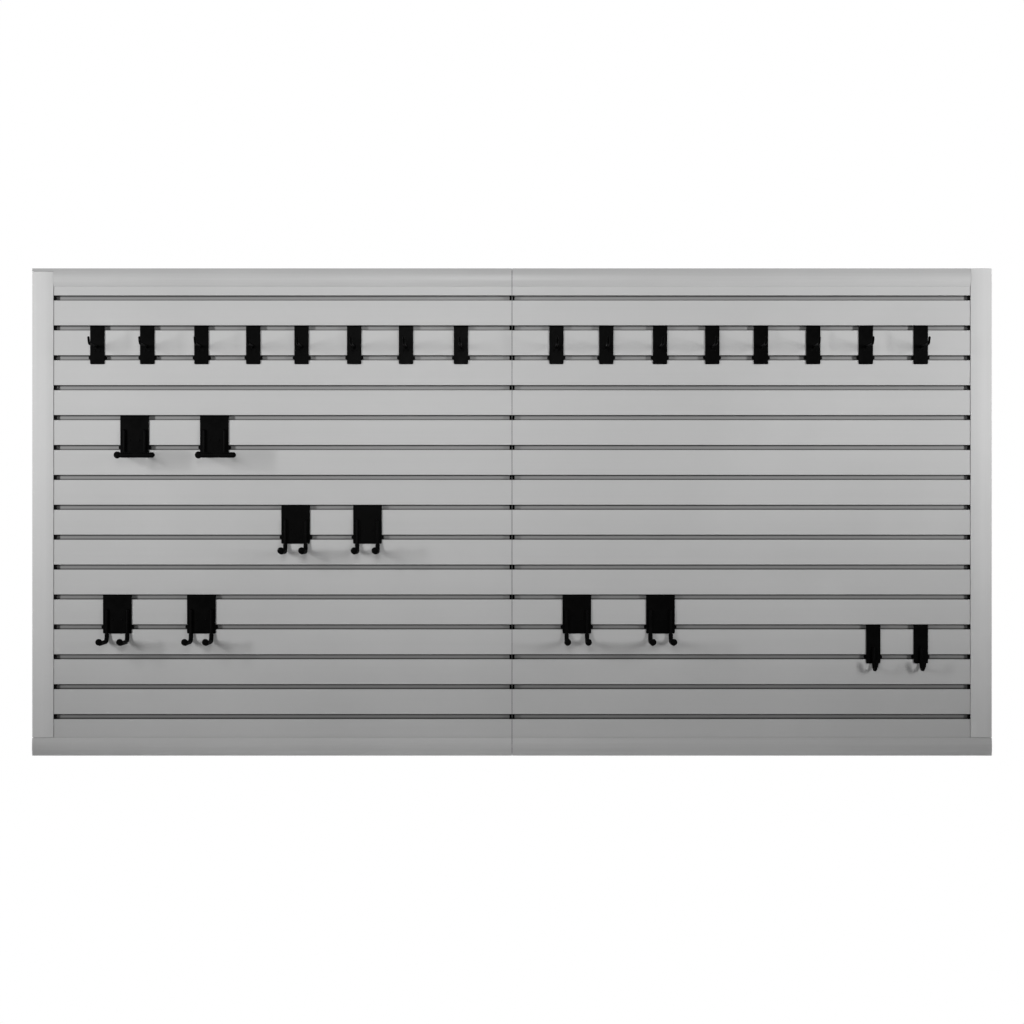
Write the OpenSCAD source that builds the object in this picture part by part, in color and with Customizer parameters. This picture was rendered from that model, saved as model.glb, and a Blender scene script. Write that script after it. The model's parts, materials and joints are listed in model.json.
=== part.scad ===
// Slatwall panel: two columns of interlocking grey planks, crowned edge trims,
// slot end plugs and black steel hooks that slide along the slots.
//
// Frame: X along the panel, Z up, the front faces -Y. The wall plane is y = 0.
// The origin is on the wall plane, at the joint between the two columns, at the
// mid-height of the middle slot. Slots are counted from the bottom, 1 to 15.

/* [Planks] */
// Length of one plank, which is the width of one column
plank_len = 1219.2; // [900:0.1:1500]
// Thickness of a plank from the wall to its face
plank_t = 19; // [17:0.5:22]
// Height from one slot to the next
pitch = 76.2; // [72:0.1:80]
// Height of the slot's mouth
mouth_h = 12.7; // [12:0.1:14]
// Depth of the lips in front of the slot's pocket
lip_t = 6; // [5:0.5:7]
// Thickness of the web behind the slots
web_t = 5; // [4:0.5:5]
// Radius on the edges of each slat
lip_r = 1.2; // [0.5:0.1:1.5]

/* [Trims] */
// Height of the top and bottom trims on the face
trim_h = 45.7; // [40:0.1:48]
// Width of the side trims on the face
side_trim_w = 53.6; // [50:0.1:60]
// Thickness of the trim's wall
trim_t = 2.4; // [2:0.1:3]
// How far the crowned face bulges
trim_crown = 3.8; // [2:0.1:5]

/* [Hooks] */
// Thickness of a hook's back plate
plate_t = 2.6; // [2:0.1:3]
// Height of a hook's back plate
plate_h = 99; // [94:1:104]
// Width of the narrow back plates
narrow_w = 36.5; // [30:0.5:40]
// Width of the wide back plates
wide_w = 73; // [66:0.5:76]
// How far a peg reaches out before its tip turns up
peg_reach = 92; // [60:1:120]
// Diameter of the peg rod
peg_d = 6; // [5:0.5:7]
// Diameter of the rods of the larger hooks
rod_d = 8; // [7:0.5:9]
// Distance between the two rods of a wide hook
rod_spacing = 52; // [46:1:54]
// How far the rods of the double hooks reach out
j_reach = 86; // [60:1:110]

/* [Fasteners] */
// Diameter of the wall screws' pilot holes behind the slots
wall_hole_d = 5.2; // [4:0.1:6]
// Skin left at the front of each pilot hole, which its screw is driven through
pilot_skin = 0.8; // [0.5:0.1:2]
// Shank diameter of the trim screws
screw_d = 3.5; // [3:0.1:4]
// Length of the trim screws
screw_len = 22; // [16:1:30]

/* [Hidden] */
$fn = 48;
CROWN_FN = 200;
BEND_FN = 32;
SLOTS = 15;
PLANKS = 4;
MIDDLE = 8;
SLATS_PER_PLANK = 4;

// Planks
plank_h = SLATS_PER_PLANK * pitch;
undercut_up = 9;
undercut_down = 5;
tongue_t = 2;
tongue_h = 5;
tongue_gap = 0.15;
groove_spare = 0.5;
pocket_v = plank_t - lip_t;
cut = 1;
field_bottom = -MIDDLE * pitch - mouth_h / 2;
field_top = field_bottom + PLANKS * plank_h;

// Trims
top_gap = 5.15;
bottom_gap = 16.5;
strip_h = 7.6;
edge_v = plank_t + trim_t;
trim_top = field_top + top_gap;
trim_bottom = field_bottom - bottom_gap;
bottom_trim_top = trim_bottom + trim_h;
outer_x = plank_len + trim_t;
side_trim_x = outer_x - side_trim_w;
cap_t = trim_t;
cap_spare = 1;

// Slot end plugs
plug_w = 5;
plug_play = 0.1;
plug_back = 0.6;
joint_gap = 1.3;
joint_play = 0.6;
trim_play = 0.8;

// Wall screws: one row in a slot of each plank, on four studs in each column
hole_rows = [1, 6, 10, 15];
stud_spacing = 406.4;
end_dist = 25.4;
hole_x = [end_dist, stud_spacing, 2 * stud_spacing, plank_len - end_dist];

// Trim screws, in the middle of a slat
screw_head_d = 7;
screw_head_h = 2;
screw_slot = [2, 6, 10, 14];
screw_play = 0.05;
screw_v = plank_t / 2;
slat_mid = (pitch + mouth_h) / 2;

// Hooks
face_gap = 0.4;
plate_back = plank_t + face_gap;
plate_front = plate_back + plate_t;
plate_r = 3;
lug_up = 7;
lug_drop = 0.3;
bar_side = 4.6;
bar_h = 9;
bar_reach = 11;
rivet_d = 6;
rivet_h = 1;
rivet_drop = 64;

// Pegs
peg_drop = 55;
peg_bend_r = 12;
peg_bend = 65;
peg_tip = 9;
collar_d = 11;
collar_h = 2.5;

// Double hooks
rod_start = 40;
j_drop = 6;
j_bend_r = 14;
j_rise_r = 12;
j_rise = 25;
ball_d = 17;
ball_at = 9;
neck_d = 12;
dip_d = 11;
dip_gap = 0.5;

// Short hooks
short_reach = 8;
short_rod_start = 60;
short_bend_r = 13;
short_drop = 1;
short_rise = 70;
tip_d = 12;
tip_len = 18;

// Bar hooks
bar_hook_reach = 74;
sleeve_d = 14;
elbow_d = 18;
sleeve_over = 42;
bar_bend_r = 7;
bar_rise = 2;
socket_in = 3;
socket_play = 0.05;

// Where the hooks hang: the slot of the upper lug, and the plate's centre
peg_slot = 14;
peg_x = [
    -1056, -929, -791, -659, -536, -402, -270, -130,
    113, 240, 377, 510, 634, 767, 901, 1041];
bar_slot = 11;
bar_x = [-961, -758];
j_slot = [8, 8, 5, 5, 5, 5];
j_x = [-551, -368, -1005, -791, 165, 378];
short_slot = 4;
short_x = [920, 1041];

// Mid-height of a slot's mouth
function slot_z(slot) = (slot - MIDDLE) * pitch;

// Outer radius of a crowned strip of width w
function crown_r(w) = (w * w / 4 + trim_crown * trim_crown) / (2 * trim_crown);

// Top of a back plate hung in a slot
function plate_top(slot) = slot_z(slot) + mouth_h / 2 - lug_drop;

// Stands a profile drawn as (distance from the wall, height) along X
module along_x(from, length) {
    translate([from, 0, 0])
        rotate([90, 0, 90])
            linear_extrude(height = length)
                mirror([1, 0])
                    children();
}

// What a rounded edge takes off a square corner at the origin
module corner_cut(r) {
    difference() {
        translate([-cut, -cut])
            square([r + cut, r + cut]);
        translate([r, r])
            circle(r);
    }
}

// ---- Planks ----

module slat_edges(bottom, top) {
    translate([plank_t, bottom])
        mirror([1, 0])
            corner_cut(lip_r);
    translate([plank_t, top])
        mirror([1, 0])
            mirror([0, 1])
                corner_cut(lip_r);
}

// One plank's section: four slats, three whole slots, and half a joint at each edge
module plank_profile() {
    difference() {
        union() {
            translate([0, mouth_h])
                square([plank_t, plank_h - mouth_h]);
            translate([0, -undercut_down])
                square([web_t, mouth_h + undercut_down + cut]);
            translate([(web_t - tongue_t) / 2, -undercut_down - tongue_h])
                square([tongue_t, tongue_h + cut]);
        }
        for (n = [1 : SLATS_PER_PLANK - 1]) {
            translate([pocket_v - cut, n * pitch])
                square([lip_t + 2 * cut, mouth_h]);
            translate([web_t, n * pitch - undercut_down])
                square([pocket_v - web_t, undercut_down + mouth_h + undercut_up]);
        }
        translate([web_t, mouth_h - cut])
            square([pocket_v - web_t, undercut_up + cut]);
        translate([-cut, plank_h - undercut_down])
            square([pocket_v + cut, undercut_down + cut]);
        translate([(web_t - tongue_t) / 2 - tongue_gap, plank_h - undercut_down - tongue_h - groove_spare])
            square([tongue_t + 2 * tongue_gap, tongue_h + groove_spare + cut]);
        for (n = [0 : SLATS_PER_PLANK - 1])
            slat_edges(n * pitch + mouth_h, (n + 1) * pitch);
    }
}

// The columns meet at their webs, and this slice keeps a fine gap in front of them
module joint_relief() {
    translate([-joint_play, -edge_v - 2 * trim_crown, trim_bottom - cut])
        cube([2 * joint_play, edge_v + 2 * trim_crown - web_t, trim_top - trim_bottom + 2 * cut]);
}

module plank(side, n) {
    base = field_bottom + (n - 1) * plank_h;
    color("darkgray")
        difference() {
            translate([0, 0, base])
                along_x(side < 0 ? -plank_len : 0, plank_len)
                    plank_profile();
            joint_relief();
            for (x = hole_x)
                translate([side * x, cut, slot_z(hole_rows[n - 1])])
                    rotate([90, 0, 0])
                        cylinder(d = wall_hole_d, h = cut + web_t - pilot_skin);
            translate([side * (plank_len + cut), -screw_v, slot_z(screw_slot[n - 1]) + slat_mid])
                rotate([0, -side * 90, 0])
                    cylinder(d = screw_d + 2 * screw_play, h = screw_len);
        }
}

// ---- Trims ----

// A crowned cover strip of width w, whose outer edge is at u = 0
module crown(w) {
    r = crown_r(w);
    intersection() {
        translate([edge_v + trim_crown - r, w / 2])
            difference() {
                circle(r, $fn = CROWN_FN);
                circle(r - trim_t, $fn = CROWN_FN);
            }
        translate([plank_t, 0])
            square([edge_v + trim_crown, w]);
    }
}

// The top trim's section hangs from u = 0, its outer top edge, down the face
module top_trim_profile() {
    seat = top_gap + undercut_down;
    crown(trim_h);
    square([edge_v - trim_t / 2, trim_t]);
    square([web_t, seat]);
    translate([(web_t - tongue_t) / 2, seat - cut])
        square([tongue_t, tongue_h + cut]);
}

// The bottom trim's section stands on u = 0, its outer bottom edge
module bottom_trim_profile() {
    seat = bottom_gap - undercut_down;
    crown(trim_h);
    square([edge_v - trim_t / 2, trim_t]);
    difference() {
        square([web_t, seat]);
        translate([(web_t - tongue_t) / 2 - tongue_gap, seat - tongue_h - groove_spare])
            square([tongue_t + 2 * tongue_gap, tongue_h + groove_spare + cut]);
    }
}

module top_trim(from, length) {
    translate([0, 0, trim_top])
        along_x(from, length)
            mirror([0, 1])
                top_trim_profile();
}

// What a side trim takes from the top trim, up to height z, in front of the web
module side_trim_notch(z) {
    width = side_trim_w + trim_play + cut;
    translate([outer_x + cut - width, -edge_v - 2 * trim_crown, field_bottom])
        cube([width, edge_v + 2 * trim_crown - web_t, z - field_bottom]);
    translate([plank_len, -web_t - cut, field_bottom])
        cube([outer_x - plank_len + cut, web_t + 2 * cut, z - field_bottom]);
}

// The left length runs on over the side trim as a narrow strip
module top_trim_left() {
    color("silver")
        difference() {
            top_trim(-outer_x, outer_x);
            joint_relief();
            mirror([1, 0, 0])
                side_trim_notch(trim_top - strip_h);
        }
}

module top_trim_right() {
    color("silver")
        difference() {
            top_trim(0, plank_len);
            joint_relief();
            side_trim_notch(trim_top + cut);
        }
}

module bottom_trim(side) {
    color("silver")
        difference() {
            translate([0, 0, trim_bottom])
                along_x(side < 0 ? -(outer_x - cap_t) : 0, outer_x - cap_t)
                    bottom_trim_profile();
            joint_relief();
        }
}

module end_cap(side) {
    color("silver")
        translate([0, 0, trim_bottom])
            along_x(side < 0 ? -outer_x : outer_x - cap_t, cap_t)
                intersection() {
                    translate([edge_v + trim_crown - crown_r(trim_h), trim_h / 2])
                        circle(crown_r(trim_h), $fn = CROWN_FN);
                    square([edge_v + trim_crown, trim_h - cap_spare]);
                }
}

module side_trim_profile() {
    crown(side_trim_w);
    square([edge_v - trim_t / 2, trim_t]);
}

module screw_place(side, n) {
    translate([side * outer_x, -screw_v, slot_z(screw_slot[n]) + slat_mid])
        rotate([0, -side * 90, 0])
            children();
}

// A side trim, drawn lying along X and then stood on the bottom trim
module side_trim(side, top) {
    color("silver")
        difference() {
            translate([side * outer_x, 0, bottom_trim_top + trim_play])
                mirror([side > 0 ? 1 : 0, 0, 0])
                    linear_extrude(height = top - bottom_trim_top - trim_play)
                        mirror([0, 1])
                            rotate(90)
                                mirror([0, 1])
                                    side_trim_profile();
            for (n = [0 : PLANKS - 1])
                screw_place(side, n)
                    screw_shape(screw_play);
        }
}

// ---- Fasteners and plugs ----

// A countersunk screw with its head's top at the origin, pointing along +Z
module screw_shape(play) {
    translate([0, 0, -play])
        cylinder(d1 = screw_head_d + 2 * play, d2 = screw_d + 2 * play, h = screw_head_h + play);
    cylinder(d = screw_d + 2 * play, h = screw_len - play);
}

module trim_screws() {
    color("gray")
        for (side = [-1, 1])
            for (n = [0 : PLANKS - 1])
                screw_place(side, n)
                    screw_shape(0);
}

module plug(x) {
    reach = plank_t - plug_back;
    translate([x, -reach, -mouth_h / 2 + plug_play])
        cube([plug_w, reach - web_t, mouth_h - 2 * plug_play]);
}

module slot_plugs(side) {
    color("black")
        for (slot = [1 : SLOTS])
            translate([0, 0, slot_z(slot)])
                for (x = [joint_gap, side_trim_x - plug_w])
                    plug(side > 0 ? x : -x - plug_w);
}

// ---- Hooks ----

// The back plate, with its bottom corners rounded, hanging down from the origin
module back_plate(w) {
    rotate([90, 0, 0])
        linear_extrude(height = plate_t) {
            translate([-w / 2, plate_r - plate_h])
                square([w, plate_h - plate_r]);
            translate([plate_r - w / 2, -plate_h])
                square([w - 2 * plate_r, plate_h]);
            for (s = [-1, 1])
                translate([s * (w / 2 - plate_r), plate_r - plate_h])
                    circle(plate_r);
        }
}

// The back plate with the lug that goes into the upper slot and up behind its lip
module bracket(w) {
    lug_v = pocket_v - face_gap;
    translate([0, -plate_back, 0])
        back_plate(w);
    translate([-w / 2, -plate_back - cut, -plate_t])
        cube([w, plate_back + cut - lug_v + plate_t, plate_t]);
    translate([-w / 2, -lug_v, -plate_t])
        cube([w, plate_t, plate_t + lug_up]);
}

// The lock bar behind the plate, in the lower slot, and the rivets that hold it
module lock_bar(w) {
    z = lug_drop - mouth_h / 2 - pitch;
    rivet_x = w / 6;
    translate([-w / 2 - bar_side, -plate_back, z - bar_h / 2])
        cube([w + 2 * bar_side, bar_reach, bar_h]);
    for (s = [-1, 1])
        translate([s * rivet_x, -plate_front, -rivet_drop])
            rotate([90, 0, 0])
                cylinder(d = rivet_d, h = rivet_h);
}

module hang(slot, x) {
    translate([x, 0, plate_top(slot)])
        children();
}

// A quarter of a bend, or less: the rod runs forward at the origin and turns up
module bend_up(d, r, angle) {
    translate([0, 0, r])
        rotate([0, 90, 180])
            rotate_extrude(angle = angle)
                translate([r, 0])
                    circle(d = d, $fn = BEND_FN);
}

// The rod runs down at the origin and turns forward
module bend_forward(d, r) {
    translate([0, -r, 0])
        rotate([-90, 0, 90])
            rotate_extrude(angle = 90)
                translate([r, 0])
                    circle(d = d, $fn = BEND_FN);
}

// Moves to the end of a rod that has turned up by an angle, and points +Z along it
module after_bend(r, angle) {
    translate([0, -r * sin(angle), r * (1 - cos(angle))])
        rotate([90 - angle, 0, 0])
            children();
}

module rod_forward(d, length) {
    rotate([90, 0, 0])
        cylinder(d = d, h = length);
}

module peg(reach) {
    translate([0, -plate_front, -peg_drop]) {
        rod_forward(collar_d, collar_h);
        rod_forward(peg_d, reach);
        translate([0, -reach, 0]) {
            bend_up(peg_d, peg_bend_r, peg_bend);
            after_bend(peg_bend_r, peg_bend) {
                cylinder(d = peg_d, h = peg_tip);
                translate([0, 0, peg_tip])
                    sphere(d = peg_d);
            }
        }
    }
}

module peg_hook(n) {
    color("black")
        hang(peg_slot, peg_x[n]) {
            bracket(narrow_w);
            lock_bar(narrow_w);
            peg(peg_reach);
        }
}

// Where a rod lies on the front of a back plate, at height z
module on_plate(z) {
    translate([0, -plate_front - rod_d / 2, z])
        children();
}

// The steel of a prong, welded down the plate, with a rounded upper end
module prong_root(start, drop) {
    on_plate(-plate_h - drop)
        cylinder(d = rod_d, h = plate_h + drop - start);
    on_plate(-start)
        sphere(d = rod_d);
}

// The rest of a prong: forward under the plate, and up by an angle to its tip
module prong_curve(d, drop, bend_r, reach, rise_r, rise) {
    on_plate(-plate_h - drop) {
        bend_forward(d, bend_r);
        translate([0, -bend_r, -bend_r]) {
            rod_forward(d, reach);
            translate([0, -reach, 0]) {
                bend_up(d, rise_r, rise);
                after_bend(rise_r, rise)
                    children();
            }
        }
    }
}

// A rubber ball with a short neck, which the rod's end goes into
module ball_tip() {
    rotate_extrude()
        intersection() {
            union() {
                square([neck_d / 2, ball_at]);
                translate([0, ball_at])
                    circle(d = ball_d);
            }
            square(2 * ball_d);
        }
}

// A domed rubber cap
module capped_tip() {
    rotate_extrude()
        intersection() {
            union() {
                square([tip_d / 2, tip_len - tip_d / 2]);
                translate([0, tip_len - tip_d / 2])
                    circle(d = tip_d);
            }
            square(2 * tip_len);
        }
}

module bar_hook_bracket(n) {
    color("black")
        hang(bar_slot, bar_x[n]) {
            bracket(wide_w);
            lock_bar(wide_w);
        }
}

module double_hook_bracket(n) {
    color("black")
        hang(j_slot[n], j_x[n]) {
            bracket(wide_w);
            lock_bar(wide_w);
        }
}

module short_hook_bracket(n) {
    color("black")
        hang(short_slot, short_x[n]) {
            bracket(narrow_w);
            lock_bar(narrow_w);
        }
}

// Each prong is dipped in rubber from just under the plate to its ball
module double_hook_prongs(n) {
    color("black")
        hang(j_slot[n], j_x[n])
            for (s = [-1, 1])
                translate([s * rod_spacing / 2, 0, 0]) {
                    prong_root(rod_start, j_drop);
                    on_plate(-plate_h - j_drop)
                        cylinder(d = dip_d, h = j_drop - dip_gap);
                    prong_curve(dip_d, j_drop, j_bend_r, j_reach - j_bend_r, j_rise_r, j_rise)
                        ball_tip();
                }
}

module short_hook_prong(n) {
    color("black")
        hang(short_slot, short_x[n]) {
            prong_root(short_rod_start, short_drop);
            prong_curve(rod_d, short_drop, short_bend_r, short_reach, short_bend_r, short_rise)
                capped_tip();
        }
}

// Puts the children where each rod of a bar hook runs forward
module bar_rod_ends() {
    for (s = [-1, 1])
        translate([s * rod_spacing / 2, 0, 0])
            on_plate(-plate_h + bar_rise - bar_bend_r)
                translate([0, -bar_bend_r, 0])
                    children();
}

// The bar hook's two rods run down the plate and forward into the sleeved bar
module bar_hook_rods(n) {
    color("black")
        hang(bar_slot, bar_x[n]) {
            for (s = [-1, 1])
                translate([s * rod_spacing / 2, 0, 0]) {
                    prong_root(rod_start, -bar_rise);
                    on_plate(-plate_h + bar_rise)
                        bend_forward(rod_d, bar_bend_r);
                }
            bar_rod_ends()
                rod_forward(rod_d, bar_hook_reach + socket_in);
        }
}

// The rubber-sleeved cross bar, from the elbow on one rod to past the other, with a socket for each rod
module bar_hook_sleeve(n) {
    color("black")
        hang(bar_slot, bar_x[n])
            difference() {
                on_plate(-plate_h + bar_rise - bar_bend_r)
                    translate([-rod_spacing / 2, -bar_bend_r - bar_hook_reach - sleeve_d / 2, 0])
                        rotate([0, 90, 0])
                            rotate_extrude()
                                sleeve_half();
                bar_rod_ends()
                    rod_forward(rod_d + 2 * socket_play, bar_hook_reach + socket_in + socket_play);
            }
}

// Half of the sleeve's outline: the elbow's ball, the sleeve, and its round end
module sleeve_half() {
    length = rod_spacing + sleeve_over;
    intersection() {
        union() {
            circle(d = elbow_d);
            square([sleeve_d / 2, length - sleeve_d / 2]);
            translate([0, length - sleeve_d / 2])
                circle(d = sleeve_d);
        }
        translate([0, -elbow_d])
            square([elbow_d, length + 2 * elbow_d]);
    }
}

// ---- Assembly ----

for (n = [1 : PLANKS]) {
    plank(-1, n);
    plank(1, n);
}
top_trim_left();
top_trim_right();
bottom_trim(-1);  // bottom_trim_left
bottom_trim(1);  // bottom_trim_right
side_trim(-1, trim_top - strip_h - trim_play);  // left_trim
side_trim(1, trim_top);  // right_trim
end_cap(-1);  // left_end_cap
end_cap(1);  // right_end_cap
slot_plugs(-1);  // left_slot_plugs
slot_plugs(1);  // right_slot_plugs
trim_screws();
for (n = [1 : len(peg_x)])
    peg_hook(n - 1);
for (n = [1 : len(bar_x)]) {
    bar_hook_bracket(n - 1);
    bar_hook_rods(n - 1);
    bar_hook_sleeve(n - 1);
}
for (n = [1 : len(j_x)]) {
    double_hook_bracket(n - 1);
    double_hook_prongs(n - 1);
}
for (n = [1 : len(short_x)]) {
    short_hook_bracket(n - 1);
    short_hook_prong(n - 1);
}
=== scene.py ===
"""Slatwall panel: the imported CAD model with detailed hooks, procedural materials, soft light and a camera."""

import json
import math
import random

import bpy
import bmesh
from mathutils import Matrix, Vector

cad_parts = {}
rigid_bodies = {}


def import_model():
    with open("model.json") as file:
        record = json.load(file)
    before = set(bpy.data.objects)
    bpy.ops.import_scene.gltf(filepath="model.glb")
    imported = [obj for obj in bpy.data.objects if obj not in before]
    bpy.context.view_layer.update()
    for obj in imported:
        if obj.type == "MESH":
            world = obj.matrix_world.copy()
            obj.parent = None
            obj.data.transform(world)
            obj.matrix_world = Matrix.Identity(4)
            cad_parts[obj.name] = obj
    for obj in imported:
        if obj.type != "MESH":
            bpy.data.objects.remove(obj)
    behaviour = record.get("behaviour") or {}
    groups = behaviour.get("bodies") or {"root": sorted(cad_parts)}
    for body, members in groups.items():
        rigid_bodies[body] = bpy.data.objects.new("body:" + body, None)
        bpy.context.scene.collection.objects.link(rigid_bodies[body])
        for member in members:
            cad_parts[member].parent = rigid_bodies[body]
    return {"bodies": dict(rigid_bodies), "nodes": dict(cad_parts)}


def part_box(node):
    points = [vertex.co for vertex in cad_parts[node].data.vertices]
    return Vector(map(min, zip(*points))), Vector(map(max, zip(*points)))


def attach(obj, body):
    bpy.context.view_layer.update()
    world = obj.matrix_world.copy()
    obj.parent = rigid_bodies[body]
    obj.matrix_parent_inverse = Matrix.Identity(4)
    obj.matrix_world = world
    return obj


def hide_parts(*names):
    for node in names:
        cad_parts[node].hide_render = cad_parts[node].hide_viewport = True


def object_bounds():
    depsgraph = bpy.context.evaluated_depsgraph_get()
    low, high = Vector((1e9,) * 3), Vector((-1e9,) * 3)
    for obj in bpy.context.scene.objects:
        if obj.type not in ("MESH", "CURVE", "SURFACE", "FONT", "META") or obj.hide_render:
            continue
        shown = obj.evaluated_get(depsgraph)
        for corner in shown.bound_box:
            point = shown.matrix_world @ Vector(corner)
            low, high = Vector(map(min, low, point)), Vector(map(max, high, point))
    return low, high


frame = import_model()
CAD_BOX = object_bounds()
LOW, HIGH = CAD_BOX
MIDDLE = (LOW + HIGH) / 2
SPAN = HIGH.x - LOW.x

MM = 0.001

# ---- Sizes, in metres, that the CAD model has too ----

PITCH = 76.2 * MM
MOUTH_H = 12.7 * MM
FACE_V = 19.0 * MM
LIP_V = 13.0 * MM
WEB_V = 5.0 * MM
PLATE_T = 2.6 * MM
PLATE_H = 99.0 * MM
PLATE_BACK = FACE_V + 0.4 * MM
PLATE_FRONT = PLATE_BACK + PLATE_T
PLATE_R = 3.0 * MM
LUG_UP = 7.0 * MM
LUG_GAP = 0.4 * MM
BAR_SIDE = 4.6 * MM
BAR_H = 9.0 * MM
BAR_REACH = 11.0 * MM
BAR_DROP = MOUTH_H / 2 - 0.3 * MM + PITCH
RIVET_R = 3.0 * MM
RIVET_H = 1.0 * MM
RIVET_DROP = 64.0 * MM
RIVET_SPLIT = 6
NARROW_W = 36.5 * MM
WIDE_W = 73.0 * MM
ROD_SPACING = 52.0 * MM
ROD_START = 40.0 * MM
ROD_R = 4.0 * MM

# ---- Sizes of the visual model only ----

# Inner radii of the plate's two folds. The one behind the lip is tight, so that it clears the lip's corner.
BEND_R = 2.0 * MM
LUG_BEND_R = 0.3 * MM
# Radius at which a turned shape ends on its axis, so that it closes without a point
AXIS_R = 0.02 * MM
SMOOTH_ANGLE = math.radians(35)
BEVEL_ANGLE = math.radians(40)

# ---- Painted shade in the slots ----

# What is left of the colour behind the lip, in the pockets, and on the web in line with the mouth: painted
# shade, darkening the slots where shade falls
LIP_SHADE = 0.45
POCKET_SHADE = 0.07
WEB_SHADE = 0.50
# The face is free of painted shade to FACE_SKIN; the pockets' full painted shade starts POCKET_FADE behind the
# lip
FACE_SKIN = 1.0 * MM
POCKET_FADE = 2.0 * MM
# Where a change starts and ends: distances in front of the web, and in front of the panel's back
WEB_FADE = (0.6 * MM, 0.1 * MM)
BACK_FADE = (1.0 * MM, 0.3 * MM)
# Half heights, from a slot's middle, of the band on the web with lighter painted shade and of where it ends;
# beyond it the web is painted as dark as the pockets, a painted shade along both lips
LIGHTER_BAND = 2.2 * MM
FULL_SHADE_BAND = 5.4 * MM
# How far in from its outer sides the panel stays free of painted shade
OUTER_SKIN = 5.0 * MM


# ---- Materials ----


class Graph:
    """A node material with one Principled shader, built a node at a time."""

    def __init__(self, name, roughness, specular=0.5):
        self.material = bpy.data.materials.new(name)
        self.material.use_nodes = True
        self.tree = self.material.node_tree
        self.tree.nodes.clear()
        self.shader = self.add("ShaderNodeBsdfPrincipled")
        self.shader.inputs["Roughness"].default_value = roughness
        self.shader.inputs["Specular IOR Level"].default_value = specular
        out = self.add("ShaderNodeOutputMaterial")
        self.link(self.shader.outputs[0], out.inputs[0])
        self.place = self.add("ShaderNodeTexCoord").outputs["Object"]
        self.height = None

    def add(self, kind, **settings):
        node = self.tree.nodes.new(kind)
        for key, value in settings.items():
            setattr(node, key, value)
        return node

    def link(self, a, b):
        self.tree.links.new(a, b)

    def stretched(self, scale):
        node = self.add("ShaderNodeMapping")
        node.inputs["Scale"].default_value = scale
        self.link(self.place, node.inputs["Vector"])
        return node.outputs[0]

    def noise(self, scale, detail=3.0, rough=0.5, stretch=None):
        node = self.add("ShaderNodeTexNoise")
        node.inputs["Scale"].default_value = scale
        node.inputs["Detail"].default_value = detail
        node.inputs["Roughness"].default_value = rough
        self.link(self.stretched(stretch) if stretch else self.place, node.inputs["Vector"])
        return node.outputs["Fac"]

    def ranged(self, value, low, high, to_low, to_high):
        node = self.add("ShaderNodeMapRange")
        self.link(value, node.inputs["Value"])
        for key, number in zip(("From Min", "From Max", "To Min", "To Max"), (low, high, to_low, to_high)):
            node.inputs[key].default_value = number
        return node.outputs[0]

    def math(self, operation, a, b=None):
        node = self.add("ShaderNodeMath", operation=operation)
        for n, value in enumerate((a, b)):
            if value is None:
                continue
            if isinstance(value, (int, float)):
                node.inputs[n].default_value = value
            else:
                self.link(value, node.inputs[n])
        return node.outputs[0]

    def axis(self, letter):
        node = self.add("ShaderNodeSeparateXYZ")
        self.link(self.place, node.inputs[0])
        return node.outputs[letter]

    def mix(self, factor, a, b):
        node = self.add("ShaderNodeMix", data_type="RGBA")
        if isinstance(factor, (int, float)):
            node.inputs[0].default_value = factor
        else:
            self.link(factor, node.inputs[0])
        for n, value in ((6, a), (7, b)):
            if isinstance(value, tuple):
                node.inputs[n].default_value = (*value, 1)
            else:
                self.link(value, node.inputs[n])
        return node.outputs[2]

    def color(self, value):
        self.link(value, self.shader.inputs["Base Color"])

    def rough(self, value):
        self.link(value, self.shader.inputs["Roughness"])

    def bump(self, value, strength, distance):
        node = self.add("ShaderNodeBump")
        node.inputs["Strength"].default_value = strength
        node.inputs["Distance"].default_value = distance
        self.link(value, node.inputs["Height"])
        if self.height is not None:
            self.link(self.height, node.inputs["Normal"])
        self.height = node.outputs[0]
        self.link(self.height, self.shader.inputs["Normal"])


def grey(value):
    return (value, value, value)


def inside_panel(g):
    """One inside the panel, and zero on its back and its outer sides, which get no painted shade."""
    mask = g.ranged(g.axis("Y"), -BACK_FADE[0], -BACK_FADE[1], 1.0, 0.0)
    for letter in "XZ":
        middle = getattr(MIDDLE, letter.lower())
        half = getattr(HIGH, letter.lower()) - middle
        from_middle = g.math("ABSOLUTE", g.math("SUBTRACT", g.axis(letter), middle))
        clear_of_side = g.ranged(from_middle, half - OUTER_SKIN, half - OUTER_SKIN / 2, 1.0, 0.0)
        mask = g.math("MULTIPLY", mask, clear_of_side)
    return mask


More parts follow.
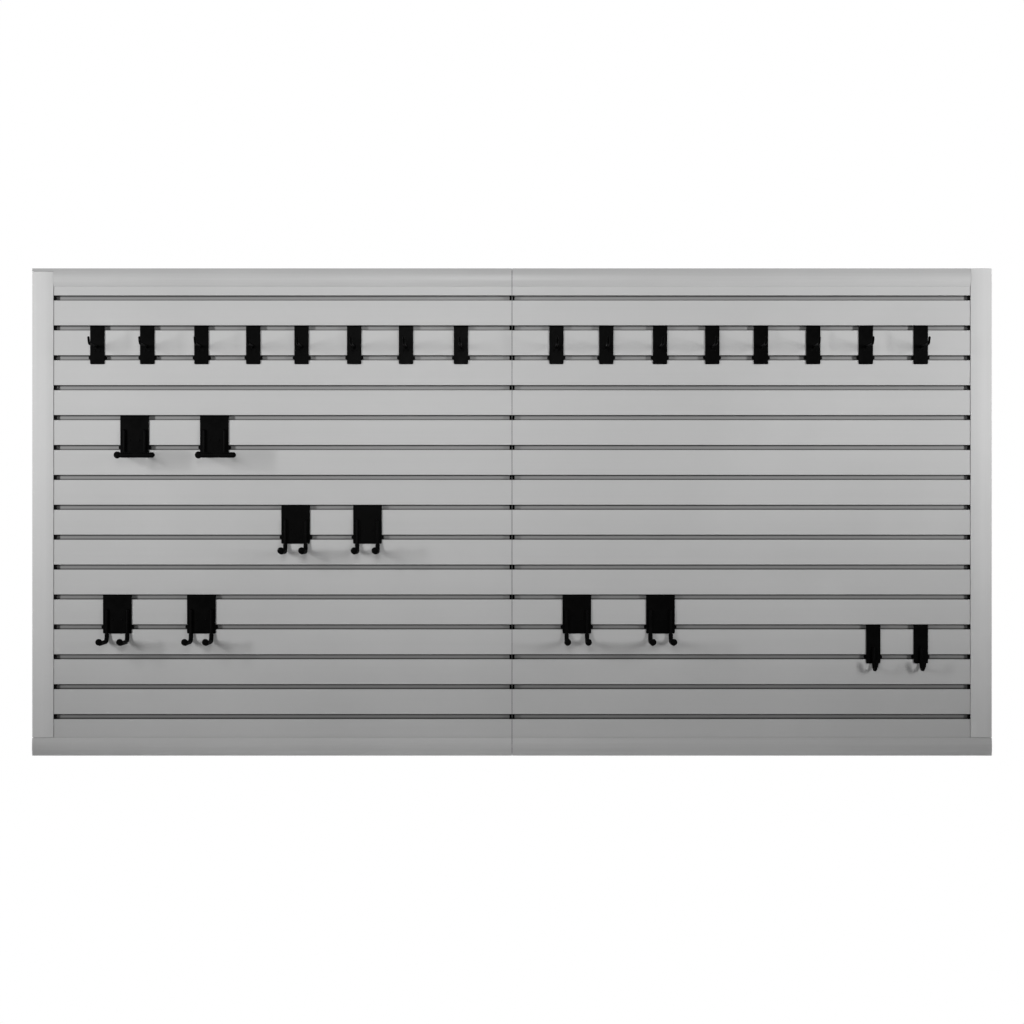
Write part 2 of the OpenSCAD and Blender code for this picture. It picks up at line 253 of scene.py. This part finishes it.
def extruded_pvc(name, base, along, roughness, streak, specular=0.42):
    """Satin grey PVC with streaks along its extrusion, mottling, fine scuffs, and painted shade that darkens
    its recesses.
    """
    g = Graph(name, roughness, specular=specular)
    fine = (1.5, 260.0, 260.0) if along == "X" else (260.0, 260.0, 1.5)
    broad = (0.4, 22.0, 22.0) if along == "X" else (22.0, 22.0, 0.4)
    lines = g.noise(1.0, detail=2.0, stretch=fine)
    bands = g.noise(1.0, detail=2.0, stretch=broad)
    mottle = g.noise(2.6, detail=4.0, rough=0.55)
    grain = g.noise(850.0, detail=2.0)
    tone = g.ranged(lines, 0.3, 0.7, 1 - streak, 1 + streak)
    tone = g.math("MULTIPLY", tone, g.ranged(bands, 0.3, 0.7, 1 - 2 * streak, 1 + 2 * streak))
    tone = g.math("MULTIPLY", tone, g.ranged(mottle, 0.3, 0.7, 0.97, 1.03))
    color = g.mix(g.ranged(tone, 0.9, 1.1, 0.0, 1.0), grey(base * 0.9), grey(base * 1.1))
    scuff = g.noise(26.0, detail=8.0, rough=0.78, stretch=(1.0, 1.0, 2.0))
    color = g.mix(g.ranged(scuff, 0.69, 0.75, 0.0, 0.12), color, grey(min(1.0, base * 1.35)))
    # Painted shade: the lips' inner faces, the pockets and the web's edges are darkened in the colour where
    # shade falls in the slots; the web in line with the mouth is darkened less.
    depth = g.axis("Y")
    inner = g.ranged(depth, -FACE_V + FACE_SKIN, -LIP_V, 1.0, LIP_SHADE)
    pocket = g.ranged(depth, -LIP_V, -LIP_V + POCKET_FADE, 1.0, POCKET_SHADE / LIP_SHADE)
    inner = g.math("MULTIPLY", inner, pocket)
    pale = g.ranged(depth, -WEB_V - WEB_FADE[0], -WEB_V - WEB_FADE[1], 0.0, WEB_SHADE - POCKET_SHADE)
    from_slot_middle = g.math("PINGPONG", g.axis("Z"), PITCH / 2)
    pale = g.math("MULTIPLY", pale, g.ranged(from_slot_middle, LIGHTER_BAND, FULL_SHADE_BAND, 1.0, 0.0))
    shade = g.math("SUBTRACT", 1.0, g.math("ADD", inner, pale))
    shade = g.math("MULTIPLY", shade, inside_panel(g))
    shaded_color = g.add("ShaderNodeVectorMath", operation="SCALE")
    g.link(color, shaded_color.inputs[0])
    g.link(g.math("SUBTRACT", 1.0, shade), shaded_color.inputs["Scale"])
    g.color(shaded_color.outputs[0])
    g.rough(g.ranged(g.math("ADD", mottle, scuff), 0.6, 1.4, roughness - 0.07, roughness + 0.09))
    g.bump(lines, 0.05, 0.0003)
    g.bump(grain, 0.12, 0.0002)
    return g.material


def powder_coat():
    """Black powder coat with its fine orange peel, and a little dust and wear."""
    g = Graph("hook_powder_coat", 0.42, specular=0.025)
    peel = g.noise(1500.0, detail=2.0)
    patches = g.noise(38.0, detail=5.0, rough=0.65)
    color = g.mix(g.ranged(patches, 0.35, 0.75, 0.0, 1.0), grey(0.0006), grey(0.0016))
    scratch = g.noise(60.0, detail=6.0, rough=0.7, stretch=(1.0, 1.0, 6.0))
    color = g.mix(g.ranged(scratch, 0.70, 0.76, 0.0, 0.30), color, grey(0.02))
    g.color(color)
    g.rough(g.ranged(patches, 0.3, 0.7, 0.34, 0.50))
    g.bump(peel, 0.25, 0.00025)
    return g.material


def black_rubber():
    """Matt black dipped rubber with a pebbly skin."""
    g = Graph("tip_rubber", 0.7, specular=0.03)
    pebble = g.noise(620.0, detail=3.0, rough=0.6)
    bloom = g.noise(55.0, detail=4.0)
    g.color(g.mix(g.ranged(bloom, 0.4, 0.75, 0.0, 1.0), grey(0.0010), grey(0.0028)))
    g.rough(g.ranged(bloom, 0.3, 0.7, 0.58, 0.80))
    g.bump(pebble, 0.35, 0.0004)
    return g.material


def black_plastic():
    """Moulded black plastic with a spark-eroded texture."""
    g = Graph("moulded_black", 0.5, specular=0.03)
    texture = g.noise(1100.0, detail=2.0)
    flow = g.noise(70.0, detail=4.0)
    g.color(g.mix(g.ranged(flow, 0.35, 0.7, 0.0, 1.0), grey(0.0010), grey(0.0026)))
    g.rough(g.ranged(flow, 0.3, 0.7, 0.44, 0.60))
    g.bump(texture, 0.3, 0.0003)
    return g.material


def zinc():
    """Zinc-plated steel, lightly brushed and clouded."""
    g = Graph("zinc_plate", 0.35)
    g.shader.inputs["Metallic"].default_value = 1.0
    cloud = g.noise(240.0, detail=4.0)
    lines = g.noise(1.0, detail=2.0, stretch=(60.0, 2600.0, 2600.0))
    g.color(g.mix(g.ranged(cloud, 0.3, 0.7, 0.0, 1.0), (0.42, 0.43, 0.44), (0.60, 0.61, 0.62)))
    g.rough(g.ranged(cloud, 0.3, 0.7, 0.28, 0.48))
    g.bump(lines, 0.25, 0.0002)
    return g.material


# ---- Mesh helpers ----


def make_object(name, mesh, body, nodes=(), at=(0, 0, 0), material=None, bevel=0.0):
    """A new piece with its place, material, body and the CAD nodes that it stands for."""
    piece = bpy.data.objects.new(name, mesh)
    bpy.context.scene.collection.objects.link(piece)
    piece.location = at
    if not mesh.materials:
        mesh.materials.append(material)
    if bevel:
        modifier = piece.modifiers.new("edges", "BEVEL")
        modifier.width = bevel
        modifier.segments = 3
        modifier.limit_method = "ANGLE"
        modifier.angle_limit = BEVEL_ANGLE
    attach(piece, body)
    if nodes:
        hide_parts(*nodes)
    return piece


def finish_mesh(name, bm):
    bmesh.ops.remove_doubles(bm, verts=bm.verts, dist=1e-7)
    bmesh.ops.recalc_face_normals(bm, faces=bm.faces)
    mesh = bpy.data.meshes.new(name)
    bm.to_mesh(mesh)
    bm.free()
    for polygon in mesh.polygons:
        polygon.use_smooth = True
    mesh.set_sharp_from_angle(angle=SMOOTH_ANGLE)
    return mesh


def bridge(bm, rings):
    """Skins a list of closed rings of vertices, with a fan over each end."""
    count = len(rings[0])
    for a, b in zip(rings, rings[1:]):
        for n in range(count):
            m = (n + 1) % count
            bm.faces.new((a[n], a[m], b[m], b[n]))
    for ring in (rings[0], rings[-1]):
        centre = sum((v.co for v in ring), Vector()) / count
        hub = bm.verts.new(centre)
        for n in range(count):
            bm.faces.new((ring[n], ring[(n + 1) % count], hub))


def add_tube(bm, path, radius, sides=20, profile=None):
    """A round tube along a path of points; profile[n] scales the radius at point n."""
    rings = []
    side = None
    for n, point in enumerate(path):
        ahead = path[min(n + 1, len(path) - 1)] - path[max(n - 1, 0)]
        ahead.normalize()
        if side is None:
            side = ahead.cross(Vector((1, 0, 0)))
            if side.length < 0.1:
                side = ahead.cross(Vector((0, 0, 1)))
        side = (side - ahead * side.dot(ahead)).normalized()
        up = ahead.cross(side)
        r = radius * (profile[n] if profile else 1.0)
        ring = []
        for k in range(sides):
            a = 2 * math.pi * k / sides
            ring.append(bm.verts.new(point + (side * math.cos(a) + up * math.sin(a)) * r))
        rings.append(ring)
    bridge(bm, rings)


def rounded_end(path, radius, at_start=False, steps=5):
    """Extends a path by a half ball, and gives the radius scale of the new points."""
    points = list(path)
    if at_start:
        points.reverse()
    ahead = (points[-1] - points[-2]).normalized()
    tip = points[-1]
    scales = [1.0] * len(points)
    for n in range(1, steps + 1):
        a = math.pi / 2 * n / steps
        points.append(tip + ahead * radius * math.sin(a))
        scales.append(max(math.cos(a), 0.04))
    if at_start:
        points.reverse()
        scales.reverse()
    return points, scales


def turtle(start, moves, step=0.0025):
    """A path in the YZ plane, as points about step apart on its arcs.

    Moves are ("line", length) or ("arc", radius, degrees); a positive arc turns from down towards forward
    and up. ("head", degrees) sets the heading, where 0 is down and 90 is forward.
    """
    points = [Vector(start)]
    heading = 0.0
    for move in moves:
        if move[0] == "head":
            heading = math.radians(move[1])
        elif move[0] == "line":
            count = max(1, round(move[1] / (step * 4)))
            for _ in range(count):
                points.append(points[-1] + direction(heading) * move[1] / count)
        else:
            _, radius, degrees = move
            count = max(4, round(abs(math.radians(degrees)) * radius / step))
            turn = math.radians(degrees) / count
            chord = 2 * radius * math.sin(abs(turn) / 2)
            for _ in range(count):
                points.append(points[-1] + direction(heading + turn / 2) * chord)
                heading += turn
    return points


def direction(heading):
    """0 is down, 90 degrees is forward (-Y), 180 is up."""
    return Vector((0, -math.sin(heading), -math.cos(heading)))


def add_lathe(bm, profile, origin, axis, sides=28):
    """Spins (distance along the axis, radius) points about an axis."""
    axis = axis.normalized()
    side = axis.orthogonal().normalized()
    up = axis.cross(side)
    rings = []
    for along, radius in profile:
        ring = []
        for k in range(sides):
            a = 2 * math.pi * k / sides
            spoke = side * math.cos(a) + up * math.sin(a)
            ring.append(bm.verts.new(origin + axis * along + spoke * radius))
        rings.append(ring)
    bridge(bm, rings)


def add_prism(bm, outline, x0, x1):
    """A closed prism along X from an outline of (y, z) points."""
    rings = []
    for x in (x0, x1):
        rings.append([bm.verts.new((x, y, z)) for y, z in outline])
    bridge(bm, rings)


# ---- Hook parts, drawn with the plate's top centre over the wall plane as origin ----

MESHES = {}


def shared(maker):
    """Each mesh is made once and used by every hook of its kind."""

    def get(*arguments):
        key = (maker.__name__, *arguments)
        if key not in MESHES:
            MESHES[key] = maker(*arguments)
        return MESHES[key]

    return get


@shared
def bracket_mesh(width):
    """A bent steel sheet: the back plate, the fold into the slot, and the upturned lug behind the lip."""
    r = BEND_R + PLATE_T / 2
    tight = LUG_BEND_R + PLATE_T / 2
    lug_v = LIP_V - LUG_GAP - PLATE_T / 2
    plate_v = PLATE_BACK + PLATE_T / 2
    moves = [
        ("head", 180),
        ("line", PLATE_H - r - PLATE_T / 2),
        ("arc", r, 90),
        ("line", plate_v - lug_v - r - tight),
        ("arc", tight, -90),
        ("line", LUG_UP + PLATE_T / 2 - tight),
    ]
    path = turtle((0, -plate_v, -PLATE_H), moves, step=0.0007)
    corner = [PLATE_R * (1 - math.cos(math.radians(a))) for a in (0, 15, 30, 45, 60, 75, 90)]
    start = path[0]
    path = [start + Vector((0, 0, z)) for z in corner] + path[1:]
    bm = bmesh.new()
    rings = []
    travelled = 0.0
    for n, point in enumerate(path):
        ahead = (path[min(n + 1, len(path) - 1)] - path[max(n - 1, 0)]).normalized()
        out = Vector((0, ahead.z, -ahead.y)) * -1
        if n:
            travelled += (point - path[n - 1]).length
        missing = 0.0
        if travelled < PLATE_R:
            missing = PLATE_R - math.sqrt(max(PLATE_R**2 - (PLATE_R - travelled) ** 2, 0))
        half = width / 2 - missing
        skin = out * PLATE_T / 2
        corners = ((-half, 1), (half, 1), (half, -1), (-half, -1))
        rings.append([bm.verts.new(point + Vector((x, 0, 0)) + skin * side) for x, side in corners])
    bridge(bm, rings)
    return finish_mesh("bracket_sheet", bm)


@shared
def lock_bar_mesh(width):
    """The moulded bar in the lower slot, with a tapered nose and ribbed ends."""
    y0 = -PLATE_BACK
    y1 = -(PLATE_BACK - BAR_REACH)
    z = -BAR_DROP
    half = BAR_H / 2
    taper = 1.6 * MM
    nose = 2.4 * MM
    outline = [
        (y0, z - half),
        (y0, z + half),
        (y1 - nose, z + half),
        (y1, z + half - taper),
        (y1, z - half + taper),
        (y1 - nose, z - half),
    ]
    bm = bmesh.new()
    reach = width / 2 + BAR_SIDE
    end = 2.2 * MM
    add_prism(bm, outline, -reach + end, reach - end)
    back, front = y0 + 0.8 * MM, y1 - 1.2 * MM
    high, low = half - 0.9 * MM, half - 2.2 * MM
    rib = [(back, z - high), (back, z + high), (front, z + low), (front, z - low)]
    rib_w = 2.6 * MM
    for side in (-1, 1):
        inner, outer = sorted((side * (reach - rib_w), side * reach))
        add_prism(bm, rib, inner, outer)
    return finish_mesh("lock_bar", bm)


@shared
def rivets_mesh(width):
    """Two domed rivet heads on the plate's front."""
    profile = [(0, RIVET_R), (0.25 * MM, RIVET_R), (0.6 * MM, RIVET_R * 0.86), (0.85 * MM, RIVET_R * 0.55)]
    profile += [(RIVET_H, RIVET_R * 0.2)]
    bm = bmesh.new()
    for side in (-1, 1):
        centre = Vector((side * width / RIVET_SPLIT, -PLATE_FRONT, -RIVET_DROP))
        add_lathe(bm, profile, centre, Vector((0, -1, 0)))
    return finish_mesh("rivets", bm)


PEG_DROP = 55.0 * MM
PEG_R = 3.0 * MM
PEG_REACH = 92.0 * MM
PEG_BEND_R = 12.0 * MM
PEG_BEND = 65
PEG_TIP = 9.0 * MM
COLLAR_R = 5.5 * MM
COLLAR_H = 2.5 * MM


@shared
def peg_mesh():
    """The peg: straight out, then turned up, with a rounded tip."""
    moves = [("head", 90), ("line", PEG_REACH), ("arc", PEG_BEND_R, PEG_BEND), ("line", PEG_TIP)]
    path = turtle((0, -PLATE_FRONT, -PEG_DROP), moves, step=0.0012)
    path, scales = rounded_end(path, PEG_R)
    bm = bmesh.new()
    add_tube(bm, path, PEG_R, profile=scales)
    return finish_mesh("peg", bm)


@shared
def collar_mesh():
    """The weld fillet round the peg's root, with its ripples."""
    bm = bmesh.new()
    axis = Vector((0, -1, 0))
    origin = Vector((0, -PLATE_FRONT, -PEG_DROP))
    steps = 7
    profile = []
    foot = COLLAR_R - PEG_R * 0.98
    for n in range(steps + 1):
        a = math.pi / 2 * n / steps
        profile.append((COLLAR_H * (1 - math.cos(a)), COLLAR_R - foot * math.sin(a)))
    add_lathe(bm, profile, origin, axis, sides=48)
    ripple = 0.22 * MM
    ripples = 12
    for v in bm.verts:
        flat = Vector((v.co.x, 0, v.co.z + PEG_DROP))
        if flat.length > PEG_R * 1.1:
            angle = math.atan2(flat.z, flat.x)
            v.co += flat.normalized() * ripple * (math.sin(ripples * angle) - 1) * 0.5
    return finish_mesh("weld_collar", bm)


J_DROP = 6.0 * MM
J_BEND_R = 14.0 * MM
J_REACH = 86.0 * MM
J_RISE_R = 12.0 * MM
J_RISE = 25
BALL_R = 8.5 * MM
BALL_AT = 9.0 * MM
NECK_R = 6.0 * MM
DIP_R = 5.5 * MM
DIP_GAP = 0.5 * MM
SOCKET_IN = 3.0 * MM
SHORT_START = 60.0 * MM
SHORT_DROP = 1.0 * MM
SHORT_R = 13.0 * MM
SHORT_REACH = 8.0 * MM
SHORT_RISE = 70
TIP_R = 6.0 * MM
TIP_LEN = 18.0 * MM


def j_path(start, drop, bend_r, reach, rise_r, rise):
    """Down the plate from start, drop past its lower edge, forward by reach, and up by rise degrees."""
    moves = [("head", 0), ("line", PLATE_H + drop - start), ("arc", bend_r, 90), ("line", reach)]
    moves += [("arc", rise_r, rise)]
    return turtle((0, -PLATE_FRONT - ROD_R, -start), moves, step=0.0015)


# What j_path takes: start, drop, bend_r, reach, rise_r, rise
J_LONG = (ROD_START, J_DROP, J_BEND_R, J_REACH - J_BEND_R, J_RISE_R, J_RISE)
J_SHORT = (SHORT_START, SHORT_DROP, SHORT_R, SHORT_REACH, SHORT_R, SHORT_RISE)


@shared
def j_rods_mesh(shape, offsets):
    """The bare rods, each running on a little inside its rubber tip."""
    into_tip = 4 * MM
    bm = bmesh.new()
    for x in offsets:
        path = j_path(*shape)
        path, scales = rounded_end(path, ROD_R, at_start=True)
        ahead = (path[-1] - path[-2]).normalized()
        path.append(path[-1] + ahead * into_tip)
        scales.append(1.0)
        add_tube(bm, [p + Vector((x, 0, 0)) for p in path], ROD_R, profile=scales, sides=24)
    return finish_mesh("j_rods", bm)


@shared
def dip_mesh(shape, offsets):
    """The rubber dip over each prong, from a rolled edge under the plate to its ball."""
    _, drop, bend_r, reach, rise_r, rise = shape
    moves = [("head", 0), ("line", drop - DIP_GAP)]
    moves += [("arc", bend_r, 90), ("line", reach), ("arc", rise_r, rise)]
    path = turtle((0, -PLATE_FRONT - ROD_R, -PLATE_H - DIP_GAP), moves, step=0.001)
    edge = [0.74, 0.90, 0.98, 1.0]
    lip = [path[0] + Vector((0, 0, -z * MM)) for z in (0.0, 0.25, 0.7, 1.3)]
    path = lip + path[1:]
    scales = edge + [1.0] * (len(path) - len(edge))
    unevenness = 0.018
    for n in range(len(edge), len(path)):
        scales[n] = 1.0 + unevenness * math.sin(n * 1.9) * math.sin(n * 0.37)
    bm = bmesh.new()
    for x in offsets:
        add_tube(bm, [p + Vector((x, 0, 0)) for p in path], DIP_R, profile=scales, sides=28)
    return finish_mesh("rubber_dip", bm)


@shared
def ball_tips_mesh(shape, offsets):
    """Rubber balls that the dip runs into through a short neck."""
    meet = math.acos(NECK_R * 0.95 / BALL_R)
    profile = [(-2.0 * MM, DIP_R * 0.90), (-1.2 * MM, DIP_R * 1.01), (0, NECK_R * 0.97)]
    steps = 16
    for n in range(steps + 1):
        a = -meet + (meet + math.pi / 2) * n / steps
        profile.append((BALL_AT + BALL_R * math.sin(a), max(BALL_R * math.cos(a), AXIS_R)))
    bm = bmesh.new()
    for x in offsets:
        path = j_path(*shape)
        add_lathe(bm, profile, path[-1] + Vector((x, 0, 0)), path[-1] - path[-2], sides=36)
    return finish_mesh("ball_tips", bm)


@shared
def capped_tip_mesh(shape):
    """A rubber cap with a rolled mouth, a waist and a domed end."""
    lip = 0.8 * MM
    profile = [(0, ROD_R * 1.02), (0, TIP_R * 0.88), (lip * 0.4, TIP_R * 0.98), (lip * 1.1, TIP_R)]
    profile += [(lip * 1.8, TIP_R * 0.98), (lip * 2.4, TIP_R * 0.92)]
    profile += [(4.0 * MM, TIP_R * 0.93), (6.0 * MM, TIP_R * 0.97)]
    steps = 10
    for n in range(steps + 1):
        a = math.pi / 2 * n / steps
        profile.append((TIP_LEN - TIP_R + TIP_R * math.sin(a), max(TIP_R * math.cos(a), AXIS_R)))
    path = j_path(*shape)
    bm = bmesh.new()
    add_lathe(bm, profile, path[-1], path[-1] - path[-2])
    return finish_mesh("capped_tip", bm)


@shared
def weld_beads_mesh(offsets, top, bottom):
    """Rippled weld beads down both sides of each rod, where it lies on the plate."""
    bm = bmesh.new()
    rng = random.Random(7)
    bead_r = 1.5 * MM
    count = 22
    jitter = 0.12
    y = -PLATE_FRONT - 0.45 * MM
    for x in offsets:
        for side in (-1, 1):
            for z0, z1 in ((top, top + 16 * MM), (bottom - 18 * MM, bottom - 3 * MM)):
                path = []
                scales = []
                for n in range(count + 1):
                    t = n / count
                    wobble = rng.uniform(-jitter, jitter) * MM
                    path.append(Vector((x + side * (ROD_R * 0.80) + wobble, y, -(z0 + (z1 - z0) * t))))
                    end = min(1.0, 6 * min(t, 1 - t) + 0.25)
                    scales.append(end * (0.86 + 0.14 * math.cos(n * math.pi)))
                add_tube(bm, path, bead_r, profile=scales, sides=12)
    return finish_mesh("weld_beads", bm)


BAR_RISE = 2.0 * MM
BAR_BEND = 7.0 * MM
BAR_HOOK_REACH = 74.0 * MM
SLEEVE_R = 7.0 * MM
ELBOW_R = 9.0 * MM
SLEEVE_OVER = 42.0 * MM
ROD_OFFSETS = (-ROD_SPACING / 2, ROD_SPACING / 2)


@shared
def bar_rods_mesh():
    """Two rods that run down the plate, then forward into the sleeve's sockets."""
    bm = bmesh.new()
    for x in ROD_OFFSETS:
        moves = [("head", 0), ("line", PLATE_H - BAR_RISE - ROD_START), ("arc", BAR_BEND, 90)]
        moves += [("line", BAR_HOOK_REACH + SOCKET_IN)]
        path = turtle((x, -PLATE_FRONT - ROD_R, -ROD_START), moves, step=0.0012)
        path, scales = rounded_end(path, ROD_R, at_start=True)
        add_tube(bm, path, ROD_R, profile=scales, sides=24)
    return finish_mesh("bar_rods", bm)


@shared
def sleeve_mesh():
    """The rubber-sleeved cross bar, with a ball elbow, ribs and a domed end."""
    y = -PLATE_FRONT - ROD_R - BAR_BEND - BAR_HOOK_REACH - SLEEVE_R
    z = -PLATE_H + BAR_RISE - BAR_BEND
    length = ROD_SPACING + SLEEVE_OVER
    profile = []
    meet = math.acos((SLEEVE_R * 0.94) / ELBOW_R)
    steps = 12
    for n in range(steps + 1):
        a = -math.pi / 2 + (meet + math.pi / 2) * n / steps
        profile.append((ELBOW_R * math.sin(a), max(ELBOW_R * math.cos(a), AXIS_R)))
    ribs = 17
    first = ELBOW_R * math.sin(meet) + 2.0 * MM
    last = length - SLEEVE_R - 1.5 * MM
    gap = (last - first) / (ribs - 1)
    for n in range(ribs):
        at = first + (last - first) * n / (ribs - 1)
        profile.append((at, SLEEVE_R * 0.95))
        profile.append((at + gap * 0.12, SLEEVE_R))
        if n < ribs - 1:
            profile.append((at + gap * 0.80, SLEEVE_R))
            profile.append((at + gap * 0.92, SLEEVE_R * 0.95))
    dome_steps = 8
    for n in range(1, dome_steps + 1):
        a = math.pi / 2 * n / dome_steps
        profile.append((length - SLEEVE_R + SLEEVE_R * math.sin(a), max(SLEEVE_R * math.cos(a), AXIS_R)))
    bm = bmesh.new()
    add_lathe(bm, profile, Vector((-ROD_SPACING / 2, y, z)), Vector((1, 0, 0)))
    return finish_mesh("bar_sleeve", bm)


# ---- Putting the hooks together ----

STEEL = powder_coat()
RUBBER = black_rubber()
PLASTIC = black_plastic()
EDGE = 0.45 * MM


def hook_place(node):
    """The plate's top centre, from the CAD node's box."""
    low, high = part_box(node)
    return Vector(((low.x + high.x) / 2, 0, low.z + PLATE_H))


def hang_bracket(body, node, width):
    """The plate, lock bar and rivets that every hook has; returns its place."""
    at = hook_place(node)
    make_object(body + "_plate", bracket_mesh(width), body, [node], at, STEEL, bevel=EDGE)
    bar = lock_bar_mesh(width)
    make_object(body + "_lock_bar", bar, body, [node], at, PLASTIC, bevel=EDGE)
    make_object(body + "_rivets", rivets_mesh(width), body, [node], at, STEEL)
    return at


def peg_hook(body):
    at = hang_bracket(body, body, NARROW_W)
    make_object(body + "_peg", peg_mesh(), body, [body], at, STEEL)
    make_object(body + "_weld", collar_mesh(), body, [body], at, STEEL)


def double_hook(body):
    at = hang_bracket(body, body + "_bracket", WIDE_W)
    rods = [body + "_prongs"]
    make_object(body + "_rods", j_rods_mesh(J_LONG, ROD_OFFSETS), body, rods, at, STEEL)
    make_object(body + "_dip", dip_mesh(J_LONG, ROD_OFFSETS), body, rods, at, RUBBER)
    make_object(body + "_tips", ball_tips_mesh(J_LONG, ROD_OFFSETS), body, rods, at, RUBBER)
    welds = weld_beads_mesh(ROD_OFFSETS, ROD_START, PLATE_H)
    make_object(body + "_welds", welds, body, rods, at, STEEL)


def short_hook(body):
    at = hang_bracket(body, body + "_bracket", NARROW_W)
    rods = [body + "_prong"]
    make_object(body + "_rod", j_rods_mesh(J_SHORT, (0.0,)), body, rods, at, STEEL)
    make_object(body + "_tip", capped_tip_mesh(J_SHORT), body, rods, at, RUBBER)
    welds = weld_beads_mesh((0.0,), SHORT_START, PLATE_H)
    make_object(body + "_welds", welds, body, rods, at, STEEL)


def bar_hook(body):
    at = hang_bracket(body, body + "_bracket", WIDE_W)
    make_object(body + "_bars", bar_rods_mesh(), body, [body + "_rods"], at, STEEL)
    make_object(body + "_grip", sleeve_mesh(), body, [body + "_sleeve"], at, RUBBER)
    welds = weld_beads_mesh(ROD_OFFSETS, ROD_START, PLATE_H)
    make_object(body + "_welds", welds, body, [body + "_rods"], at, STEEL)


BUILDERS = {"peg_hook": peg_hook, "bar_hook": bar_hook, "double_hook": double_hook, "short_hook": short_hook}
for body_name in sorted(frame["bodies"]):
    for kind, build in BUILDERS.items():
        if body_name.startswith(kind):
            build(body_name)


# ---- Materials of the CAD nodes that show ----

PLANK_GREY = 0.38
# Painted light: the side trims are the same trim as at top and bottom, but their grey is painted lighter, as
# painted light from the side lamps.
SIDE_TRIM_LIT_GREY = 0.475
TRIM_GREY = 0.375
PLANKS = extruded_pvc("plank_pvc", PLANK_GREY, "X", 0.42, 0.006)
TRIMS = extruded_pvc("trim_pvc", TRIM_GREY, "X", 0.38, 0.022)
LIT_SIDE_TRIMS = extruded_pvc("side_trim_lit_pvc", SIDE_TRIM_LIT_GREY, "Z", 0.58, 0.012, specular=0.12)
ZINC = zinc()


def paint(node, material):
    mesh = frame["nodes"][node].data
    mesh.materials.clear()
    mesh.materials.append(material)


for node_name in frame["nodes"]:
    if "plank" in node_name:
        paint(node_name, PLANKS)
    elif node_name in ("left_trim", "right_trim", "left_end_cap", "right_end_cap"):
        paint(node_name, LIT_SIDE_TRIMS)
    elif "plugs" in node_name:
        paint(node_name, PLASTIC)
    elif node_name == "trim_screws":
        paint(node_name, ZINC)
    elif "trim" in node_name:
        paint(node_name, TRIMS)


# ---- Floor, light and camera ----


def floor():
    """A plain pale floor under the hung panel, low enough to stay below the camera's view."""
    drop = 1.2
    behind = 1.7
    reach = 5.0
    bm = bmesh.new()
    bmesh.ops.create_grid(bm, x_segments=1, y_segments=1, size=reach)
    mesh = bpy.data.meshes.new("floor")
    bm.to_mesh(mesh)
    bm.free()
    sheet = bpy.data.objects.new("floor", mesh)
    sheet.location = (0, behind - reach, LOW.z - drop)
    bpy.context.scene.collection.objects.link(sheet)
    g = Graph("pale_floor", 0.9, specular=0.1)
    cloud = g.noise(1.2, detail=3.0)
    g.color(g.mix(g.ranged(cloud, 0.3, 0.7, 0.0, 1.0), grey(0.80), grey(0.83)))
    mesh.materials.append(g.material)
    return sheet


def area_light(name, place, target, size, power, spread):
    """A rectangular soft light aimed at target, whose grid narrows its beam to spread degrees."""
    light = bpy.data.lights.new(name, "AREA")
    light.shape = "RECTANGLE"
    light.size, light.size_y = size
    light.energy = power
    light.spread = math.radians(spread)
    lamp = bpy.data.objects.new(name, light)
    lamp.location = place
    lamp.rotation_euler = (Vector(target) - Vector(place)).to_track_quat("-Z", "Y").to_euler()
    bpy.context.scene.collection.objects.link(lamp)
    return lamp


def backdrop(fill):
    """A white backdrop whose light on the object is weaker than it looks, as with a lit cloth far behind."""
    world = bpy.data.worlds.new("studio")
    world.use_nodes = True
    tree = world.node_tree
    background = tree.nodes["Background"]
    background.inputs["Color"].default_value = (1, 1, 1, 1)
    rays = tree.nodes.new("ShaderNodeLightPath")
    strength = tree.nodes.new("ShaderNodeMapRange")
    strength.inputs["To Min"].default_value = fill
    strength.inputs["To Max"].default_value = 1.0
    tree.links.new(rays.outputs["Is Camera Ray"], strength.inputs["Value"])
    tree.links.new(strength.outputs[0], background.inputs["Strength"])
    bpy.context.scene.world = world


def camera():
    """Level and square to the panel, with a lens that gives the panel its share of the frame's width."""
    distance = 5.0
    panel_width_px = 959
    frame_px = 1024
    shown = panel_width_px / frame_px
    data = bpy.data.cameras.new("camera")
    data.sensor_width = 36.0
    hooks_depth = -LOW.y - FACE_V
    data.lens = data.sensor_width * shown * (distance + hooks_depth) / SPAN
    eye = bpy.data.objects.new("camera", data)
    eye.location = (MIDDLE.x, LOW.y - distance, MIDDLE.z)
    eye.rotation_euler = (math.radians(90), 0, 0)
    bpy.context.scene.collection.objects.link(eye)
    bpy.context.scene.camera = eye


ground = floor()
camera()
backdrop(0.15)
area_light("key_left", (-2.6, -2.2, 0.42), (-0.7, 0, 0.52), (0.30, 1.3), 14.5, 76)
area_light("key_right", (2.6, -2.2, 0.42), (0.8, 0, 0.56), (0.26, 1.2), 9.8, 62)
area_light("front", (-0.3, -4.0, 0.75), (-0.1, 0, 0.46), (0.4, 0.9), 3.1, 50)
area_light("behind", (0.4, 3.2, 1.3), (0, 0, 0), (1.2, 1.2), 28.0, 120)
# This one lights only the floor, so that it stays pale without washing out the panel.
floor_fill = area_light("floor_fill", (0, -1.8, 3.6), (0, -1.8, LOW.z), (9.0, 8.0), 95.0, 180)
floor_only = bpy.data.collections.new("floor_only")
floor_only.objects.link(ground)
floor_fill.light_linking.receiver_collection = floor_only
bpy.context.scene.view_settings.view_transform = "Standard"
